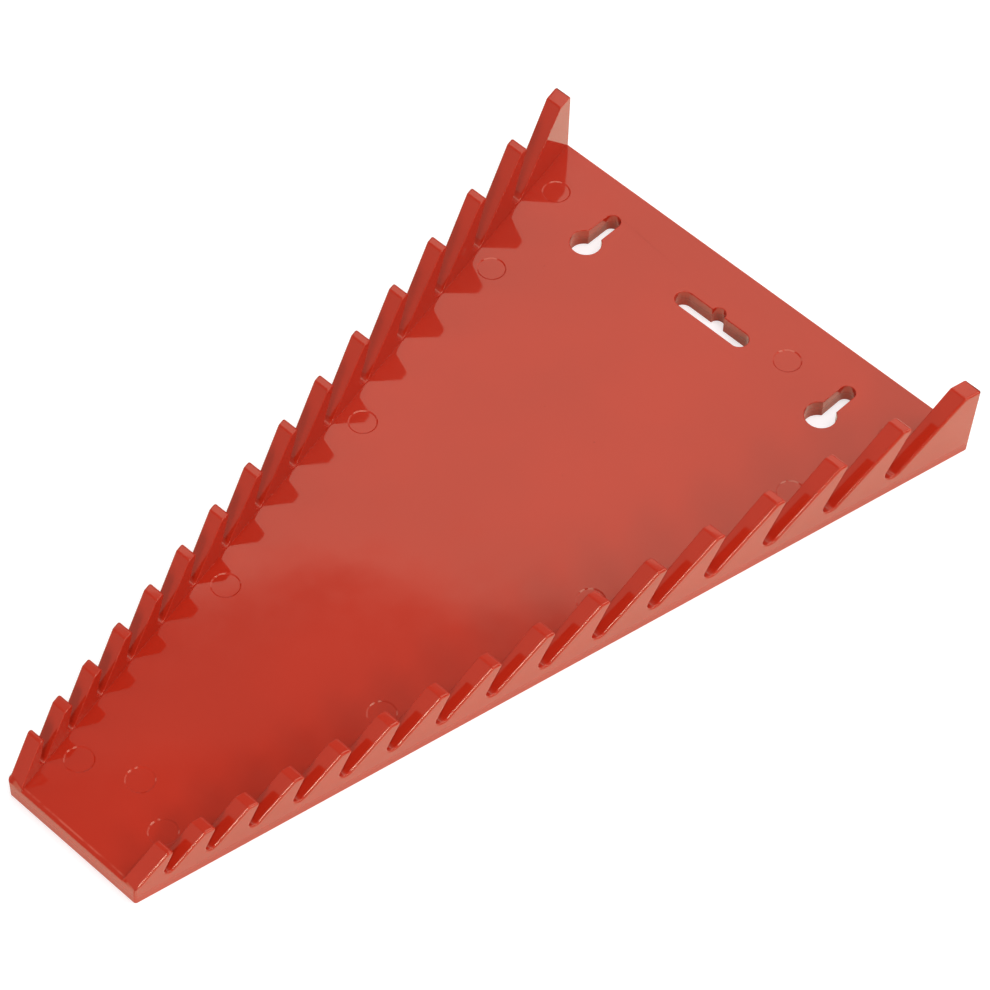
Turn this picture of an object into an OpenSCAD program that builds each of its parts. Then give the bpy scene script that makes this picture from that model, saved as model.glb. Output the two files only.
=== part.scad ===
// Wrench rack: a tapered tray moulded in one piece, with two saw-toothed side walls.
// A wrench lies across both walls, and each pair of slots takes one shank.
// X runs across the rack, Y from the small end to the wide end, and Z up from the back.
// The rack hangs with its wide end up, so each hooked tooth then holds its wrench from below.

/* [Tray] */
// Width of the small end, measured on the underside
small_end_w = 57.5; // [50:0.2:80]
// Width of the wide end, measured on the underside
wide_end_w = 191.2; // [170:0.2:220]
// Height of the plate's top face above the underside
plate_h = 7.1; // [5.5:0.1:10]
// Thickness of each side wall
wall_t = 5.6; // [4:0.1:7]
// Outward lean of the side walls, in degrees
wall_flare = 2.6; // [0:0.1:5]
// Radius of the four upright corners
corner_r = 1; // [0.6:0.1:3]

/* [Teeth] */
// Number of wrench slots in each wall
slots = 15; // [8:1:16]
// Distance from the small end to the root of the first slot
first_root_y = 12.45; // [11:0.05:18]
// Distance from the first root to the second
first_pitch = 14.88; // [13.5:0.02:18]
// Each pitch over the one before it
pitch_growth = 1.042; // [1.02:0.001:1.05]
// Distance from the last root to the wide end
last_root_inset = 32.3; // [26:0.1:40]
// Height of the first tooth above the underside
first_tooth_h = 18.9; // [16:0.1:22]
// Height of the last teeth, which is the height of the rack
rack_h = 32; // [26:0.1:36]
// How late the teeth gain their height, where 1 is evenly
height_curve = 1.25; // [1:0.05:1.5]
// Radius of the first slot's root
first_root_r = 1.8; // [1.5:0.1:2.4]
// Radius of the last slot's root
last_root_r = 3.7; // [2.6:0.1:4.4]
// Height of the roots above the plate's top face
root_rise = 0.7; // [0.4:0.1:2]
// Rise of a tooth's long slope from the plate, in degrees
slope_rise = 45; // [43:0.5:50]
// Lean of a tooth's hooked face from upright, in degrees
hook_lean = 22; // [16:0.5:25]
// Radius of a tooth's blunt front corner
tip_front_r = 1.5; // [0.5:0.1:3]
// Radius of a tooth's hooked corner
tip_hook_r = 1.1; // [0.4:0.1:1.4]

/* [Keyholes] */
// Distance between the two keyholes
keyhole_spacing = 108.4; // [90:0.2:120]
// Distance from the wide end to the centre of a keyhole's head
keyhole_inset = 29.1; // [26:0.1:34]
// Diameter of a keyhole's head
keyhole_head_d = 11.2; // [9:0.1:13]
// Width of a keyhole's neck
keyhole_neck_w = 5.8; // [4.5:0.1:7]
// Distance from the head's centre to the centre of the neck's round end
keyhole_travel = 13.7; // [10:0.1:16]

/* [Hang slot] */
// Length of the hang slot
hang_l = 32; // [28:0.1:36]
// Width of the hang slot
hang_w = 6.9; // [6:0.1:9]
// Distance from the wide end to the middle line of the hang slot
hang_inset = 23.8; // [20:0.1:26]
// Radius of the round notch in the middle of the hang slot
notch_r = 2.7; // [2.2:0.1:3.2]

/* [Back] */
// Thickness of the plate between the ribs
skin_t = 2.8; // [2:0.1:4]
// Thickness of the skirt along the two ends
skirt_t = 3.2; // [2:0.1:5]
// Thickness of the ribs
rib_t = 2; // [1.2:0.1:3]
// Number of ribs across the back
cross_ribs = 10; // [8:1:14]
// Wall round each hole in the plate
collar_t = 2.6; // [1.5:0.1:4]

/* [Ejector marks] */
// Diameter of the ejector pins
pin_d = 10.2; // [6:0.1:12]
// Depth of the mark that each pin leaves
pin_mark_depth = 0.2; // [0.1:0.05:0.4]
// Slope of the mark's rim, in degrees
pin_rim_slope = 22; // [15:1:45]
// Distance from the side faces to the pins along the walls
pin_inset = 14; // [12:0.1:17]
// Distance from the small end to the first pair of pins
first_pin_y = 21.2; // [16:0.1:26]
// Distance from one pair of pins to the next
pin_pitch = 79.5; // [76:0.5:84]
// Distance from the small end to the lone pin in the middle
lone_pin_y = 29.4; // [26:0.1:32]
// Distance from the wide end to the last pins
last_pin_inset = 19.3; // [17:0.1:21]
// Distance of the pin beside the hang slot from the middle
slot_pin_x = 30.7; // [29:0.1:34]

/* [Hidden] */
$fn = 64;
// Length by which a cut runs past the face that it opens
over = 1;
// Length by which a round reaches past the faces that it meets, so that it crosses them cleanly
bite = 0.003;
tooth_count = slots + 1;
root_z = plate_h + root_rise;
// Length of the rack, and the angle of each side to the middle line
rack_l = root_y(slots) + last_root_inset;
taper = atan2((wide_end_w - small_end_w) / 2, rack_l);
// The box round the rack is centred on the origin in Y
shift_y = -rack_l / 2;
pin_pairs = 4;
// Room that holds the whole rack, for the blocks that are cut to shape
room_w = 2 * wide_end_w;

// Place and radius of the round root of slot k, where slot 1 is at the small end
function root_y(k) = first_root_y + first_pitch * (pow(pitch_growth, k - 1) - 1) / (pitch_growth - 1);
function root_r(k) = first_root_r + (last_root_r - first_root_r) * (k - 1) / (slots - 1);
function root_centre(k) = [root_y(k), root_z + root_r(k)];
// Height of tooth k: the last two are equally high
function height_share(k) = pow((min(k, slots) - 1) / (slots - 1), height_curve);
function tooth_h(k) = first_tooth_h + (rack_h - first_tooth_h) * height_share(k);
// Tangent points of slot k's root with the next tooth's slope and with its own tooth's hooked face
function slope_point(k) = root_centre(k) + root_r(k) * [sin(slope_rise), -cos(slope_rise)];
function hook_point(k) = root_centre(k) + root_r(k) * [-cos(hook_lean), sin(hook_lean)];
// Y of tooth k's slope and of its rear face at height z
function slope_y(k, z) =
    k == 1 ? (z - plate_h) / tan(slope_rise)
           : slope_point(k - 1)[0] + (z - slope_point(k - 1)[1]) / tan(slope_rise);
function rear_y(k, z) =
    k == tooth_count ? rack_l : hook_point(k)[0] + (z - hook_point(k)[1]) * tan(hook_lean);
function unit(v) = v / norm(v);
// Half width of the underside at distance y from the small end
function half_w(y) = small_end_w / 2 + y * tan(taper);

// Directions in which tooth k's slope and its rear face go down from its tip
slope_down = [-cos(slope_rise), -sin(slope_rise)];
function rear_down(k) = k == tooth_count ? [0, -1] : [-sin(hook_lean), -cos(hook_lean)];
// A Y in the open mouth of slot k, where the height of the outline may step
function mouth_y(k) =
    k == 0 ? 0 :
    k == tooth_count ? rack_l : (rear_y(k, tooth_h(k)) + slope_y(k + 1, tooth_h(k))) / 2;

// The sliver outside a round corner: sharp corner c, unit directions a and b of its edges, radius r
module corner_sliver(c, a, b, r) {
    half_angle = acos(a * b) / 2;
    outward = -unit(a + b);
    difference() {
        polygon([c + over * outward, c + r / tan(half_angle) * a, c + r / tan(half_angle) * b]);
        translate(c - r / sin(half_angle) * outward) circle(r = r + bite);
    }
}

// Outline of a side wall without its slots: one flat top for each tooth, and the first slope
module wall_envelope() {
    difference() {
        polygon(concat(
            [[0, 0]],
            [for (k = [1 : tooth_count], mouth = [k - 1, k]) [mouth_y(mouth), tooth_h(k)]],
            [[rack_l, 0]]
        ));
        polygon([
            [slope_y(1, plate_h - over), plate_h - over],
            [slope_y(1, rack_h), rack_h],
            [slope_y(1, plate_h - over), rack_h]
        ]);
    }
}

// Outline of wrench slot k, open at the top
module slot_outline(k) {
    top = rack_h + over;
    translate(root_centre(k)) circle(r = root_r(k) + bite);
    polygon([hook_point(k), slope_point(k), [slope_y(k + 1, top), top], [rear_y(k, top), top]]);
}

// Slivers outside the front corner and the hooked corner of tooth k's tip
module tip_slivers(k) {
    corner_sliver([slope_y(k, tooth_h(k)), tooth_h(k)], slope_down, [1, 0], tip_front_r);
    corner_sliver([rear_y(k, tooth_h(k)), tooth_h(k)], [-1, 0], rear_down(k), tip_hook_r);
}

// Side view of the rack, with Y to the right and Z up
module side_profile() {
    difference() {
        wall_envelope();
        for (k = [1 : slots]) slot_outline(k);
        for (k = [1 : tooth_count]) tip_slivers(k);
    }
}

// Block between the two leaning side faces, moved inward by inset, from height z0 up
module between_sides(inset, z0, h) {
    intersection() {
        side_block(-1, inset);
        side_block(1, inset);
        translate([-room_w / 2, -over, z0]) cube([room_w, rack_l + 2 * over, h]);
    }
}

// Everything on the inner side of one side face
module side_block(side, inset) {
    mirror([side < 0 ? 1 : 0, 0, 0])
        translate([small_end_w / 2, 0, 0])
            rotate([0, 0, -taper])
                rotate([0, wall_flare, 0])
                    translate([-inset - room_w, -room_w, -room_w])
                        cube([room_w, 3 * room_w, 2 * room_w]);
}

// Tray with toothed walls, before the corners are rounded
module tray() {
    difference() {
        intersection() {
            between_sides(0, 0, rack_h);
            translate([-room_w / 2, 0, 0])
                rotate([90, 0, 90])
                    linear_extrude(room_w) side_profile();
        }
        between_sides(wall_t, plate_h, rack_h);
    }
}

// Slivers that round the four upright corners, which lean out with the side walls
module corner_slivers() {
    end_flare = atan(tan(wall_flare) / cos(taper));
    side_angle = asin(sin(taper) * cos(wall_flare));
    for (side = [0, 1], end = [0, 1])
        mirror([side, 0, 0])
            translate([half_w(end * rack_l), end * rack_l, 0])
                rotate([0, end_flare, 0])
                    translate([0, 0, -over])
                        linear_extrude(rack_h + 3 * over)
                            corner_sliver(
                                [0, 0],
                                [-1, 0],
                                (1 - 2 * end) * [sin(side_angle), cos(side_angle)],
                                corner_r
                            );
}

// Outline of a keyhole whose head is at the origin and whose neck points to the wide end
module keyhole_outline(margin) {
    circle(d = keyhole_head_d + 2 * margin);
    translate([0, keyhole_travel]) circle(d = keyhole_neck_w + 2 * margin);
    translate([-keyhole_neck_w / 2 - margin, 0]) square([keyhole_neck_w + 2 * margin, keyhole_travel]);
}

// Outline of the hang slot, with its notch towards the wide end
module hang_outline(margin) {
    end_x = (hang_l - hang_w) / 2;
    for (x = [-end_x, end_x]) translate([x, 0]) circle(d = hang_w + 2 * margin);
    square([2 * end_x, hang_w + 2 * margin], center = true);
    translate([0, hang_w / 2]) circle(r = notch_r + margin);
}

// Outlines of all three holes in the plate, each grown by a margin
module hole_outlines(margin) {
    for (side = [-1, 1])
        translate([side * keyhole_spacing / 2, rack_l - keyhole_inset]) keyhole_outline(margin);
    translate([0, rack_l - hang_inset]) hang_outline(margin);
}

// Ribs on the back: across, along the middle, and halfway to each side
module rib_outlines() {
    gap = (rack_l - 2 * skirt_t - cross_ribs * rib_t) / (cross_ribs + 1);
    for (i = [1 : cross_ribs])
        translate([-room_w / 2, skirt_t + i * gap + (i - 1) * rib_t]) square([room_w, rib_t]);
    translate([-rib_t / 2, -over]) square([rib_t, rack_l + 2 * over]);
    for (side = [-1, 1])
        translate([side * small_end_w / 4, 0])
            rotate(-side * atan(tan(taper) / 2))
                translate([-rib_t / 2, -rack_l]) square([rib_t, 3 * rack_l]);
}

// Hollows in the back between the skirt, the ribs and the collars
module back_hollows() {
    depth = plate_h - skin_t;
    intersection() {
        between_sides(wall_t, -over, depth + over);
        translate([0, 0, -over])
            linear_extrude(depth + over)
                difference() {
                    translate([-room_w / 2, skirt_t]) square([room_w, rack_l - 2 * skirt_t]);
                    rib_outlines();
                    hole_outlines(collar_t);
                }
    }
}

// Shallow round marks that the ejector pins leave in the plate's top face
module pin_marks() {
    last_y = rack_l - last_pin_inset;
    pairs = [for (i = [0 : pin_pairs - 1]) first_pin_y + i * pin_pitch];
    places = concat(
        [for (y = concat(pairs, [last_y]), side = [-1, 1]) [side * (half_w(y) - pin_inset), y]],
        [[slot_pin_x, last_y], [0, lone_pin_y]]
    );
    // Each cut is a cone that is pin_d wide at the plate's top face
    run = 1 / tan(pin_rim_slope);
    clear = over / 4;
    for (p = places)
        translate([p[0], p[1], plate_h - pin_mark_depth])
            cylinder(
                r1 = pin_d / 2 - pin_mark_depth * run,
                r2 = pin_d / 2 + clear * run,
                h = pin_mark_depth + clear
            );
}

module rack() {
    color("firebrick")
        translate([0, shift_y, 0])
            difference() {
                tray();
                corner_slivers();
                translate([0, 0, -over]) linear_extrude(plate_h + 2 * over) hole_outlines(0);
                back_hollows();
                pin_marks();
            }
}

rack();
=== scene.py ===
"""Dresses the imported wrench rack: one moulded tray with two saw-toothed side walls, in glossy red plastic.

The file is laid out as an add-on and run as a script. Lengths are in metres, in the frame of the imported
model: X runs across the rack, Y from the small end to the wide end, and Z up from the back.
"""
import math

import bmesh
import bpy
from bpy.props import FloatProperty, FloatVectorProperty, IntProperty, PointerProperty
from mathutils import Matrix, Vector


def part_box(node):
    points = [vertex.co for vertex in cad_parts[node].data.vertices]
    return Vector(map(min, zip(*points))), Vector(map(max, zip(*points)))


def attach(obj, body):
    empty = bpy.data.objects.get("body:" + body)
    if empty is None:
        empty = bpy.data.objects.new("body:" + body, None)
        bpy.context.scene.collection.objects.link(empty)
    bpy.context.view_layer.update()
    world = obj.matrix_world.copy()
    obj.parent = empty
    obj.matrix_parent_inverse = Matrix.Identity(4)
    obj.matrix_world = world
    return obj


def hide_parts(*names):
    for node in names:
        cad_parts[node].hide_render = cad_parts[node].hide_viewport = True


bl_info = {
    "name": "Wrench rack",
    "version": (1, 0, 0),
    "blender": (4, 5, 0),
    "location": "3D View > Sidebar > Wrench rack",
    "description": "Models the moulded wrench rack and sets its studio",
    "category": "Object",
}

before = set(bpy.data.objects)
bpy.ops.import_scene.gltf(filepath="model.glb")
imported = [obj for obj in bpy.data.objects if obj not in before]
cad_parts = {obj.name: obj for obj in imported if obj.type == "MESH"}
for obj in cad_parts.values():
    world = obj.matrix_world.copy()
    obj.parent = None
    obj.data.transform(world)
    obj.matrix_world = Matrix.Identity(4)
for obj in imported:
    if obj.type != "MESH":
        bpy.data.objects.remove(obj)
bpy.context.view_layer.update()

MM = 0.001
NODE = "rack"
BODY = "root"
SLOT = "red_plastic"
RACK_LOW, RACK_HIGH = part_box(NODE)


# ---------------------------------------------------------------- sizes and colours


class MouldingSizes(bpy.types.PropertyGroup):
    """Rounded edges of the moulding and lean of its walls"""

    tip_gain: FloatProperty(
        name="Tip gain",
        description="How much further in a wall's inner side stands for each metre of height",
        default=0.066, min=0, max=0.1)
    foot_loss: FloatProperty(
        name="Foot loss", description="How much thinner a wall is where it rises from the plate",
        default=0.3 * MM, min=0, max=1 * MM, unit="LENGTH", precision=5)
    outer_rim: FloatProperty(
        name="Outer rim", description="Round along the teeth on the outer side faces",
        default=0.9 * MM, min=0.1 * MM, max=1 * MM, unit="LENGTH", precision=5)
    inner_rim: FloatProperty(
        name="Inner rim", description="Round along the teeth on the inner side faces",
        default=0.32 * MM, min=0.05 * MM, max=0.34 * MM, unit="LENGTH", precision=5)
    plate_rim: FloatProperty(
        name="Plate rim", description="Round along the two ends of the plate",
        default=0.45 * MM, min=0.1 * MM, max=1 * MM, unit="LENGTH", precision=5)
    hole_rim: FloatProperty(
        name="Hole rim", description="Round along the holes in the plate",
        default=0.3 * MM, min=0.05 * MM, max=0.6 * MM, unit="LENGTH", precision=5)
    wall_fillet: FloatProperty(
        name="Wall fillet", description="Fillet where a wall's inner side meets the plate",
        default=0.34 * MM, min=0.05 * MM, max=0.35 * MM, unit="LENGTH", precision=5)
    segments: IntProperty(
        name="Segments", description="Number of strips in each round", default=4, min=1, max=8)


class PlasticFinish(bpy.types.PropertyGroup):
    """Colour and gloss of the plastic"""

    colour: FloatVectorProperty(
        name="Colour", description="Pigment of the plastic", subtype="COLOR", size=3,
        default=(0.455, 0.021, 0.008), min=0, max=1)
    roughness: FloatProperty(
        name="Roughness", description="Roughness of the polished faces",
        default=0.055, min=0, max=1, subtype="FACTOR")
    back_roughness: FloatProperty(
        name="Back roughness", description="Roughness of the unpolished back",
        default=0.34, min=0, max=1, subtype="FACTOR")


class StageSettings(bpy.types.PropertyGroup):
    """Floor, lights and camera"""

    floor_size: FloatProperty(
        name="Floor size", description="Length of each side of the floor",
        default=12, min=1, max=50, unit="LENGTH")
    fill: FloatProperty(
        name="Fill", description="Strength of the even light from all round",
        default=0.33, min=0, max=2)
    lens: FloatProperty(
        name="Lens", description="Focal length on a 36 mm wide sensor",
        default=149.13, min=20, max=400, unit="CAMERA")


# ---------------------------------------------------------------- modelling helpers


# Vertices this close together are one, and faces that meet at less than this angle are one flat face
MERGE_DISTANCE = 0.002 * MM
FLAT_ANGLE = math.radians(0.4)


def deselect_all():
    """Leaves nothing selected, the imported nodes included."""
    if bpy.context.object and bpy.context.object.mode != "OBJECT":
        bpy.ops.object.mode_set(mode="OBJECT")
    bpy.ops.object.select_all(action="DESELECT")


def activate(piece):
    """Makes piece the only selected object, and the active one."""
    deselect_all()
    piece.select_set(True)
    bpy.context.view_layer.objects.active = piece


def copy_of_node(node, name):
    """A new object with its own copy of a node's mesh, merged into one closed skin of flat faces."""
    piece = bpy.data.objects.new(name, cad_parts[node].data.copy())
    piece.data.name = name
    bpy.context.scene.collection.objects.link(piece)
    activate(piece)
    bpy.ops.mesh.customdata_custom_splitnormals_clear()
    bpy.ops.object.mode_set(mode="EDIT")
    bpy.ops.mesh.select_all(action="SELECT")
    bpy.ops.mesh.remove_doubles(threshold=MERGE_DISTANCE)
    bpy.ops.mesh.dissolve_limited(angle_limit=FLAT_ANGLE)
    bpy.ops.object.mode_set(mode="OBJECT")
    return piece


# ---------------------------------------------------------------- moulding


# A face is level or upright by the Z of its normal, and faces sideways or not by the X of it
LEVEL = 0.999
UPRIGHT = 0.1
SIDEWAYS = 0.9
NOT_SIDEWAYS = 0.08

# Heights and distances by which faces are told apart
TOUCHING = 0.02 * MM
NEAR = 0.1 * MM
MARK_DEPTH = 0.5 * MM
WALL_RISE = 5 * MM
END_DEPTH = 3 * MM

# The least angle at an edge that gets a round, and the largest that is shaded smooth, on the whole and
# round the ejector marks
SHARP_EDGE = math.radians(30)
SMOOTH_ANGLE = math.radians(50)
MARK_SMOOTH_ANGLE = math.radians(12)

# The sharp feet of the first slopes lie this near to the small end and the plate's level, and have no
# round this far
FOOT_ZONE = 1 * MM
FOOT_LENGTH = 1.5 * MM


class FaceKinds:
    """Tells the moulding's faces apart by their place and normal."""

    def __init__(self, mesh):
        tops = [f for f in mesh.faces if f.normal.z > LEVEL]
        self.plate_z = max(tops, key=lambda f: f.calc_area()).calc_center_median().z

    def kind(self, face):
        """The name of the part of the moulding that a face belongs to."""
        n, c = face.normal, face.calc_center_median()
        if n.z < -LEVEL:
            return "foot" if c.z < NEAR else "cell"
        if n.z > LEVEL and abs(c.z - self.plate_z) < NEAR / 2:
            return "plate"
        if n.z > LEVEL and c.z < self.plate_z:
            return "mark"
        low = min(v.co.z for v in face.verts)
        high = max(v.co.z for v in face.verts)
        if self.plate_z - MARK_DEPTH < low and high < self.plate_z + TOUCHING:
            return "mark"
        if abs(n.x) > SIDEWAYS and high > self.plate_z + WALL_RISE:
            return "outside" if n.x * c.x > 0 else "inside"
        if low > self.plate_z - TOUCHING and abs(n.x) < NOT_SIDEWAYS:
            return "tooth"
        if abs(n.z) < UPRIGHT and low < NEAR:
            if high <= self.plate_z - NEAR:
                return "cell"
            depth = min(c.y - RACK_LOW.y, RACK_HIGH.y - c.y)
            return "end" if depth < END_DEPTH else "hole"
        return "other"

    def pair(self, edge):
        """The kinds of the faces that meet at an edge."""
        return {self.kind(f) for f in edge.link_faces}


def lean_inner_sides(mesh, kinds, sizes):
    """Leans the walls' inner sides in, so that each wall is thicker at its tips than at its foot."""
    inner = {v for f in mesh.faces if kinds.kind(f) == "inside" for v in f.verts}
    for vert in inner:
        gain = sizes.tip_gain * (vert.co.z - kinds.plate_z) - sizes.foot_loss
        vert.co.x -= math.copysign(gain, vert.co.x)
    mesh.normal_update()


def free_feet(mesh, kinds):
    """Returns the edges at the sharp feet of the two first slopes, where no round fits.

    Long edges are split first, so that only their part at the foot stays without a round.
    """
    feet = [
        v for v in mesh.verts
        if v.co.y < RACK_LOW.y + FOOT_ZONE and abs(v.co.z - kinds.plate_z) < FOOT_ZONE
        and any(kinds.kind(f) == "tooth" for f in v.link_faces)]
    free = []
    for foot in feet:
        for edge in list(foot.link_edges):
            pair = kinds.pair(edge)
            if pair == {"tooth", "end"}:
                free.append(edge)
            elif pair & {"inside", "outside"} and pair & {"tooth", "plate"}:
                free.append(bmesh.utils.edge_split(edge, foot, FOOT_LENGTH / edge.calc_length())[0])
    return free


def rim_width(kinds, edge, sizes):
    """Width of the round along an edge, or 0 for an edge that stays as it is."""
    if len(edge.link_faces) != 2:
        return 0
    pair = kinds.pair(edge)
    if pair == {"inside", "plate"}:
        return sizes.wall_fillet
    if edge.calc_face_angle_signed(0) < SHARP_EDGE or pair & {"mark", "foot"}:
        return 0
    if "outside" in pair:
        return sizes.outer_rim
    if "inside" in pair:
        return sizes.inner_rim
    if pair in ({"plate", "end"}, {"tooth", "end"}):
        return sizes.plate_rim
    if pair == {"plate", "hole"}:
        return sizes.hole_rim
    return 0


class RACK_OT_moulding(bpy.types.Operator):
    """Model the one-piece moulding with its rounded edges"""

    bl_idname = "wrench_rack.moulding"
    bl_label = "Moulding"

    def execute(self, context):
        sizes = context.scene.rack_moulding
        piece = copy_of_node(NODE, "rack_moulding")
        widest = max(sizes.outer_rim, sizes.plate_rim)

        bpy.ops.object.mode_set(mode="EDIT")
        mesh = bmesh.from_edit_mesh(piece.data)
        mesh.normal_update()
        weight = mesh.edges.layers.float.new("bevel_weight_edge")
        kinds = FaceKinds(mesh)
        lean_inner_sides(mesh, kinds, sizes)
        free = set(free_feet(mesh, kinds))
        for edge in mesh.edges:
            edge[weight] = 0 if edge in free else rim_width(kinds, edge, sizes) / widest
            # The shallow rims of the ejector marks would be smoothed away
            if "mark" in kinds.pair(edge):
                edge.smooth = edge.calc_face_angle(0) < MARK_SMOOTH_ANGLE
        bmesh.update_edit_mesh(piece.data)
        bpy.ops.object.mode_set(mode="OBJECT")

        rounds = piece.modifiers.new("Rounds", "BEVEL")
        rounds.limit_method = "WEIGHT"
        rounds.offset_type = "OFFSET"
        rounds.width = widest
        rounds.segments = sizes.segments
        rounds.use_clamp_overlap = False
        rounds.loop_slide = True
        activate(piece)
        bpy.ops.object.modifier_apply(modifier=rounds.name)
        # A few vertices of the rounds end up past the wide end
        for vert in piece.data.vertices:
            vert.co = [min(max(c, low), high) for c, low, high in zip(vert.co, RACK_LOW, RACK_HIGH)]
        bpy.ops.object.shade_smooth_by_angle(angle=SMOOTH_ANGLE)
        even = piece.modifiers.new("Even normals", "WEIGHTED_NORMAL")
        even.keep_sharp = True
        bpy.ops.object.modifier_apply(modifier=even.name)

        piece.data.materials.clear()
        piece.data.materials.append(moulded_plastic(context.scene.rack_plastic))
        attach(piece, BODY)
        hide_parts(NODE)
        return {"FINISHED"}


# ---------------------------------------------------------------- materials


class Link:
    """A shader socket that takes part in Python expressions, each of which adds a Math node."""

    def __init__(self, graph, socket):
        self.graph = graph
        self.socket = socket

    def _maths(self, operation, *values):
        return self.graph.add("Math", {"operation": operation}, dict(enumerate(values)))

    def __add__(self, other):
        return self._maths("ADD", self, other)

    def __radd__(self, other):
        return self._maths("ADD", other, self)

    def __sub__(self, other):
        return self._maths("SUBTRACT", self, other)

    def __rsub__(self, other):
        return self._maths("SUBTRACT", other, self)

    def __mul__(self, other):
        return self._maths("MULTIPLY", self, other)

    def __rmul__(self, other):
        return self._maths("MULTIPLY", other, self)

    def __abs__(self):
        return self._maths("ABSOLUTE", self)

    def above(self, low, high):
        """0 below low, 1 above high, and a smooth step between them."""
        return self.graph.add(
            "MapRange", {"interpolation_type": "SMOOTHSTEP"},
            {"Value": self, "From Min": low, "From Max": high})

    def lesser(self, other):
        """The lesser of this value and another."""
        return self._maths("MINIMUM", self, other)

    def other(self, output):
        """Another output of the same node."""
        return Link(self.graph, self.socket.node.outputs[output])


class Graph:
    """The node tree of one material or world."""

    def __init__(self, owner):
        owner.use_nodes = True
        self.tree = owner.node_tree
        self.tree.nodes.clear()

    def add(self, kind, settings=None, inputs=None, output=0):
        """Adds a node, sets it, fills its sockets with values or links, and returns one output."""
        node = self.tree.nodes.new("ShaderNode" + kind)
        for name, value in (settings or {}).items():
            setattr(node, name, value)
        for name, value in (inputs or {}).items():
            socket = node.inputs[name]
            if isinstance(value, Link):
                self.tree.links.new(value.socket, socket)
            else:
                socket.default_value = value
        return Link(self, node.outputs[output] if node.outputs else None)

    def mix(self, factor, first, second):
        """Mixes two colours. The Mix node has many sockets of the same names, so they are given by number."""
        return self.add("Mix", {"data_type": "RGBA"}, {0: factor, 6: first, 7: second}, output=2)

    def noise(self, place, size, detail):
        """Noise between 0 and 1 whose blobs are about size metres."""
        return self.add(
            "TexNoise", {"noise_dimensions": "3D"},
            {"Vector": place, "Scale": 1 / size, "Detail": detail, "Roughness": 0.5})

    def finish(self, shader, kind="OutputMaterial"):
        """Connects the shader to the tree's output."""
        self.add(kind, None, {"Surface": shader})


def rgba(colour):
    """A colour with the alpha that sockets ask for."""
    return (*colour[:3], 1.0)


# Sizes of the plastic's patterns
FLOW_SIZE = 70 * MM
CLOUD_SIZE = 9 * MM
SPECK_SPACING = 11 * MM
SCUFF_SIZE = 1.1 * MM
WARP_SIZE = 34 * MM
PEEL_SIZE = 3.2 * MM

# Heights of its relief
WARP_RELIEF = 0.05 * MM
PEEL_RELIEF = 0.0012 * MM
SPECK_RELIEF = 0.03 * MM
SINK_RELIEF = 0.02 * MM
BACK_RELIEF = 0.01 * MM

# Distance of the sink line from the small end, and the colour of the painted highlight along it, a pale line
# of reflected light painted into the pigment
SINK_INSET = 1.6 * MM
SINK_HIGHLIGHT_COLOUR = (0.66, 0.14, 0.09)

# Pigment's factors in the flow clouds and in the specks, and how far the specks and the painted highlight of
# the sink line cover it
FLOW_SHADES = (0.97, 1.04)
SPECK_SHADE = 0.35
SPECK_COVER = 0.5
SINK_HIGHLIGHT_COVER = 0.4

# Roughness that the clouds and the scuffs add
CLOUD_ROUGHNESS = 0.035
SCUFF_ROUGHNESS = 0.05

# Heights over which the back ends, the plate's surface begins and ends, and the warp ends
BACK_END = (2 * MM, 6 * MM)
SURFACE_START = (6.5 * MM, 6.9 * MM)
SURFACE_END = (7.12 * MM, 7.2 * MM)
WARP_END = (7.2 * MM, 10 * MM)

# Refraction of the plastic, and the tint of what it mirrors
PLASTIC_IOR = 1.5
GLOSS_TINT = (1, 0.99, 0.74)


def pigment(finish, factor):
    """The plastic's colour, darker or lighter by a factor."""
    return rgba([c * factor for c in finish.colour])


def speck_pattern(g, place):
    """1 in small dots, in some of the cells of a pattern, and 0 elsewhere."""
    cells = g.add("TexVoronoi", {"feature": "F1"}, {
        "Vector": place, "Scale": 1 / SPECK_SPACING, "Randomness": 1.0})
    pick = g.add("SeparateColor", None, {"Color": cells.other("Color")})
    near = 1 - cells.above(0.012, 0.03)
    return near * pick.above(0.72, 0.74)


def sink_and_highlight_line(y, z, cloud):
    """1 on parts of a line just inside the small end, at the level of the plate, and 0 elsewhere. It marks a
    shallow sink groove and the painted highlight along it.
    """
    aside = abs(y - (RACK_LOW.y + SINK_INSET))
    level = z.above(*SURFACE_START) * (1 - z.above(*SURFACE_END))
    return (1 - aside.above(0.1 * MM, 0.5 * MM)) * level * cloud.above(0.4, 0.56)


def scuff_pattern(g, place, cloud):
    """1 in fine streaks along the rack, in some places, and 0 elsewhere."""
    stretched = g.add("Mapping", {"vector_type": "POINT"}, {
        "Vector": place, "Rotation": (0.0, 0.0, 0.6), "Scale": (1.0, 0.06, 1.0)})
    return g.noise(stretched, SCUFF_SIZE, 2).above(0.66, 0.72) * cloud.above(0.5, 0.68)


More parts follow.
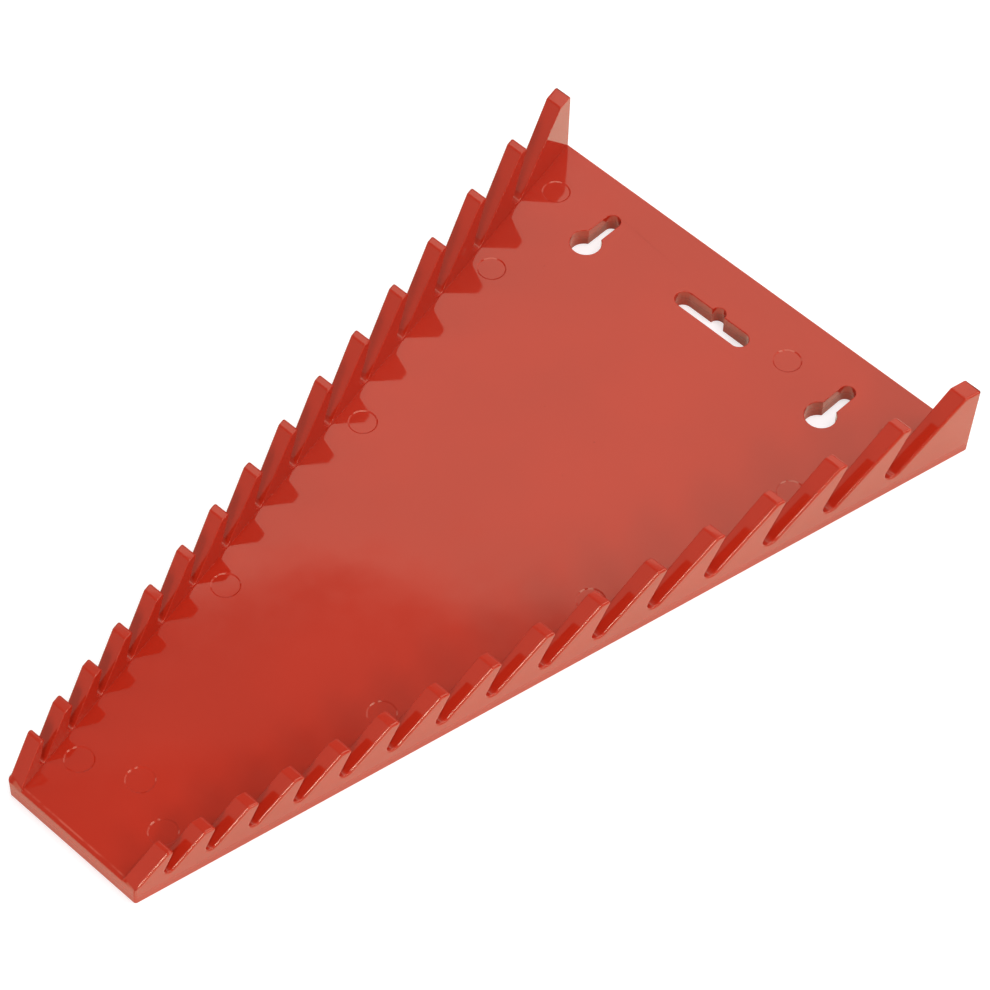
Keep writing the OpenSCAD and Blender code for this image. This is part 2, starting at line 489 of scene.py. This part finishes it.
def moulded_plastic(finish):
    """Glossy red moulded plastic with a duller back.

    Flow clouds, specks and a painted highlight along the sink line vary its colour. Clouds and scuffs vary
    its gloss. Its relief is the warp of the plate, a faint orange peel, the specks, the sink line and the
    grain of the back.
    """
    material = bpy.data.materials.new(SLOT)
    g = Graph(material)
    place = g.add("TexCoord", output="Object")
    axes = g.add("SeparateXYZ", None, {"Vector": place})
    y, z = axes.other("Y"), axes.other("Z")
    cloud = g.noise(place, CLOUD_SIZE, 4)
    specks = speck_pattern(g, place)
    sink_and_highlight = sink_and_highlight_line(y, z, cloud)
    back = 1 - z.above(*BACK_END)

    flow = g.noise(place, FLOW_SIZE, 3)
    colour = g.mix(flow.above(0.35, 0.65), *[pigment(finish, shade) for shade in FLOW_SHADES])
    colour = g.mix(specks * SPECK_COVER, colour, pigment(finish, SPECK_SHADE))
    # Painted highlight: along the sink line the pigment is made paler, as if its groove caught the light
    colour = g.mix(sink_and_highlight * SINK_HIGHLIGHT_COVER, colour, rgba(SINK_HIGHLIGHT_COLOUR))

    scuffs = scuff_pattern(g, place, cloud)
    rough = finish.roughness + CLOUD_ROUGHNESS * cloud.above(0.35, 0.7) + SCUFF_ROUGHNESS * scuffs
    rough = rough + (finish.back_roughness - finish.roughness) * back

    on_plate = 1 - z.above(*WARP_END)
    height = g.noise(place, WARP_SIZE, 1) * WARP_RELIEF * on_plate
    height = height + g.noise(place, PEEL_SIZE, 1) * PEEL_RELIEF
    height = height - specks * SPECK_RELIEF - sink_and_highlight * SINK_RELIEF + cloud * back * BACK_RELIEF
    bump = g.add("Bump", None, {"Height": height, "Strength": 1.0, "Distance": 1.0})

    shader = g.add("BsdfPrincipled", None, {
        "Base Color": colour, "Roughness": rough, "Normal": bump, "IOR": PLASTIC_IOR,
        "Specular Tint": rgba(GLOSS_TINT)})
    g.finish(shader)
    return material


# ---------------------------------------------------------------- stage


# Where the photograph was taken from, and the directions of its width and height
CAMERA_PLACE = Vector((0.55271, -0.5893, 1.0807))
CAMERA_RIGHT = Vector((0.72076, 0.69261, 0.02804))
CAMERA_DOWN = Vector((0.56097, -0.55906, -0.61054))
CAMERA_RANGE = (0.05, 60)
SENSOR_WIDTH = 36

WHITE = (1, 1, 1)

# The lamps stand at one distance. Each has its name, azimuth and elevation in degrees, width, height, and
# the brightness of its face
LAMP_DISTANCE = 1.8
LAMPS = (
    ("right_light", -8, 30, 0.6, 0.6, 5.8),
    ("front_light", -88, 24, 0.5, 0.5, 2.4),
    ("rim_strip", -66, 17, 0.16, 0.56, 34),
    ("front_fill", -117, 27, 1.0, 0.8, 0.35),
    ("top_light", 100, 84, 0.9, 0.9, 2.9),
    ("end_light", 82, 42, 1.0, 0.9, 1),
    ("side_light", 40, 30, 0.8, 0.8, 3.3),
    ("high_light", 40, 60, 0.6, 0.6, 3.8),
)

# The plate mirrors the back card as far as this line, which arches over the middle
CARD_LINE = (
    (-1.45, -0.35, 1.29), (-1.05, 0.2, 1.29), (-0.79, 0.51, 1.3), (-0.732, 0.586, 1.295),
    (-0.716, 0.625, 1.285), (-0.677, 0.657, 1.285), (-0.639, 0.679, 1.295), (-0.606, 0.692, 1.299),
    (-0.567, 0.739, 1.296), (-0.3, 0.95, 1.29), (0.1, 1.3, 1.29))
CARD_LIFT = 0.008

# Each row of the card's points is that line with its X and Y times the first number and its height times the
# second. The light between two rows has a name and a strength
CARD_ROWS = ((1.0, 0.62), (1.0, 1.0), (0.97, 1.12))
CARD_GLOW = (("card_bright", 1.64), ("card_dim", 0.56))

# The floor's colour for bounced light, and what it scatters and gives off where it is seen or mirrored
FLOOR_PLAIN = (0.8, 0.8, 0.8)
FLOOR_SEEN = ((0.62, 0.62, 0.62), (0.58, 0.58, 0.58))
FLOOR_MIRRORED = ((0.66, 0.66, 0.54), (0.71, 0.71, 0.57))


def towards(azimuth, elevation, distance):
    """The point that lies in a direction from the rack, in degrees from +X and above the floor."""
    a, e = math.radians(azimuth), math.radians(elevation)
    return distance * Vector((math.cos(e) * math.cos(a), math.cos(e) * math.sin(a), math.sin(e)))


def standing(place, right, up, back):
    """The matrix of an object at a place, with its X, Y and Z along three directions."""
    return Matrix.Translation(place) @ Matrix((right, up, back)).transposed().to_4x4()


def soft_light(name, azimuth, elevation, width, height, radiance):
    """A rectangular light that faces the rack. radiance is the brightness of its face, where 1 is white."""
    data = bpy.data.lights.new(name, "AREA")
    data.shape = "RECTANGLE"
    data.size, data.size_y = width, height
    data.energy = radiance * math.pi * width * height
    light = bpy.data.objects.new(name, data)
    place = towards(azimuth, elevation, LAMP_DISTANCE)
    back = place.normalized()
    side = Vector((0, 0, 1)).cross(back).normalized()
    light.matrix_world = standing(place, side, back.cross(side), back)
    light.visible_camera = False
    bpy.context.scene.collection.objects.link(light)


def glow(name, strength):
    """A face that gives off white light evenly."""
    material = bpy.data.materials.new(name)
    g = Graph(material)
    g.finish(g.add("Emission", None, {"Color": rgba(WHITE), "Strength": strength}))
    return material


def back_card():
    """A curved card behind the rack: bright below its line and dim above it."""
    columns = len(CARD_LINE)
    points = [
        (x * scale, y * scale, (z + CARD_LIFT) * height)
        for scale, height in CARD_ROWS for x, y, z in CARD_LINE]
    faces = [
        (i, i + 1, i + columns + 1, i + columns)
        for row in range(len(CARD_GLOW)) for i in range(row * columns, (row + 1) * columns - 1)]
    mesh = bpy.data.meshes.new("back_card")
    mesh.from_pydata(points, [], faces)
    for name, strength in CARD_GLOW:
        mesh.materials.append(glow(name, strength))
    for i, face in enumerate(mesh.polygons):
        face.material_index = i // (columns - 1)
    card = bpy.data.objects.new("back_card", mesh)
    bpy.context.scene.collection.objects.link(card)
    card.visible_camera = False


def lit_paper(g, scattered, given_off):
    """A face that scatters light and also gives off a little, so that it stays white in a soft shadow."""
    paper = g.add("BsdfDiffuse", None, {"Color": rgba(scattered)})
    light = g.add("Emission", None, {"Color": rgba(given_off), "Strength": 1})
    return g.add("AddShader", None, {0: paper, 1: light})


def paper_white():
    """The floor: plain to bounced light, and white with the rack's shadow on it where the camera sees it.

    Where the plastic mirrors it, it is a little brighter and warmer.
    """
    material = bpy.data.materials.new("floor_white")
    g = Graph(material)
    rays = g.add("LightPath")
    mirrored = rays.other("Is Glossy Ray")
    seen = (mirrored + rays.other("Is Camera Ray") + rays.other("Is Transmission Ray")).lesser(1)
    plain = g.add("BsdfDiffuse", None, {"Color": rgba(FLOOR_PLAIN)})
    shown = g.add("MixShader", None, {
        0: mirrored, 1: lit_paper(g, *FLOOR_SEEN), 2: lit_paper(g, *FLOOR_MIRRORED)})
    g.finish(g.add("MixShader", None, {0: seen, 1: plain, 2: shown}))
    return material


def studio(fill):
    """A world that gives even light from all round, and is white to the camera."""
    world = bpy.data.worlds.new("studio")
    g = Graph(world)
    camera_ray = g.add("LightPath").other("Is Camera Ray")
    g.finish(g.add("Background", None, {
        "Color": rgba(WHITE), "Strength": fill + (1 - fill) * camera_ray}), "OutputWorld")
    return world


def photo_camera(lens):
    """The camera of the photograph."""
    data = bpy.data.cameras.new("camera")
    data.sensor_width, data.sensor_fit = SENSOR_WIDTH, "HORIZONTAL"
    data.lens = lens
    data.clip_start, data.clip_end = CAMERA_RANGE
    camera = bpy.data.objects.new("camera", data)
    up = -CAMERA_DOWN.normalized()
    back = CAMERA_RIGHT.cross(up).normalized()
    camera.matrix_world = standing(CAMERA_PLACE, up.cross(back).normalized(), up, back)
    bpy.context.scene.collection.objects.link(camera)
    return camera


class RACK_OT_stage(bpy.types.Operator):
    """Set the floor, the soft studio light and the camera"""

    bl_idname = "wrench_rack.stage"
    bl_label = "Stage"

    def execute(self, context):
        scene = context.scene
        stage = scene.rack_stage
        scene.view_settings.view_transform = "Standard"

        deselect_all()
        bpy.ops.mesh.primitive_plane_add(size=stage.floor_size, location=(0, 0, 0))
        floor = context.object
        floor.name = "floor"
        floor.data.materials.append(paper_white())

        back_card()
        for lamp in LAMPS:
            soft_light(*lamp)
        scene.world = studio(stage.fill)
        scene.camera = photo_camera(stage.lens)
        return {"FINISHED"}


# ---------------------------------------------------------------- panel and run


class RACK_PT_panel(bpy.types.Panel):
    """Lists the rack's operators and sizes"""

    bl_idname = "RACK_PT_panel"
    bl_label = "Wrench rack"
    bl_space_type = "VIEW_3D"
    bl_region_type = "UI"
    bl_category = "Wrench rack"

    def draw(self, context):
        layout = self.layout
        for operator in OPERATORS:
            layout.operator(operator.bl_idname)
        for name in GROUPS:
            group = getattr(context.scene, name)
            for key in group.__annotations__:
                layout.prop(group, key)


OPERATORS = (RACK_OT_moulding, RACK_OT_stage)
GROUPS = {"rack_moulding": MouldingSizes, "rack_plastic": PlasticFinish, "rack_stage": StageSettings}


def register():
    for cls in (*GROUPS.values(), *OPERATORS, RACK_PT_panel):
        bpy.utils.register_class(cls)
    for name, group in GROUPS.items():
        setattr(bpy.types.Scene, name, PointerProperty(type=group))


def unregister():
    for name in GROUPS:
        delattr(bpy.types.Scene, name)
    for cls in (RACK_PT_panel, *reversed(OPERATORS), *GROUPS.values()):
        bpy.utils.unregister_class(cls)


def main():
    register()
    bpy.ops.wrench_rack.moulding()
    bpy.ops.wrench_rack.stage()


if __name__ == "__main__":
    main()
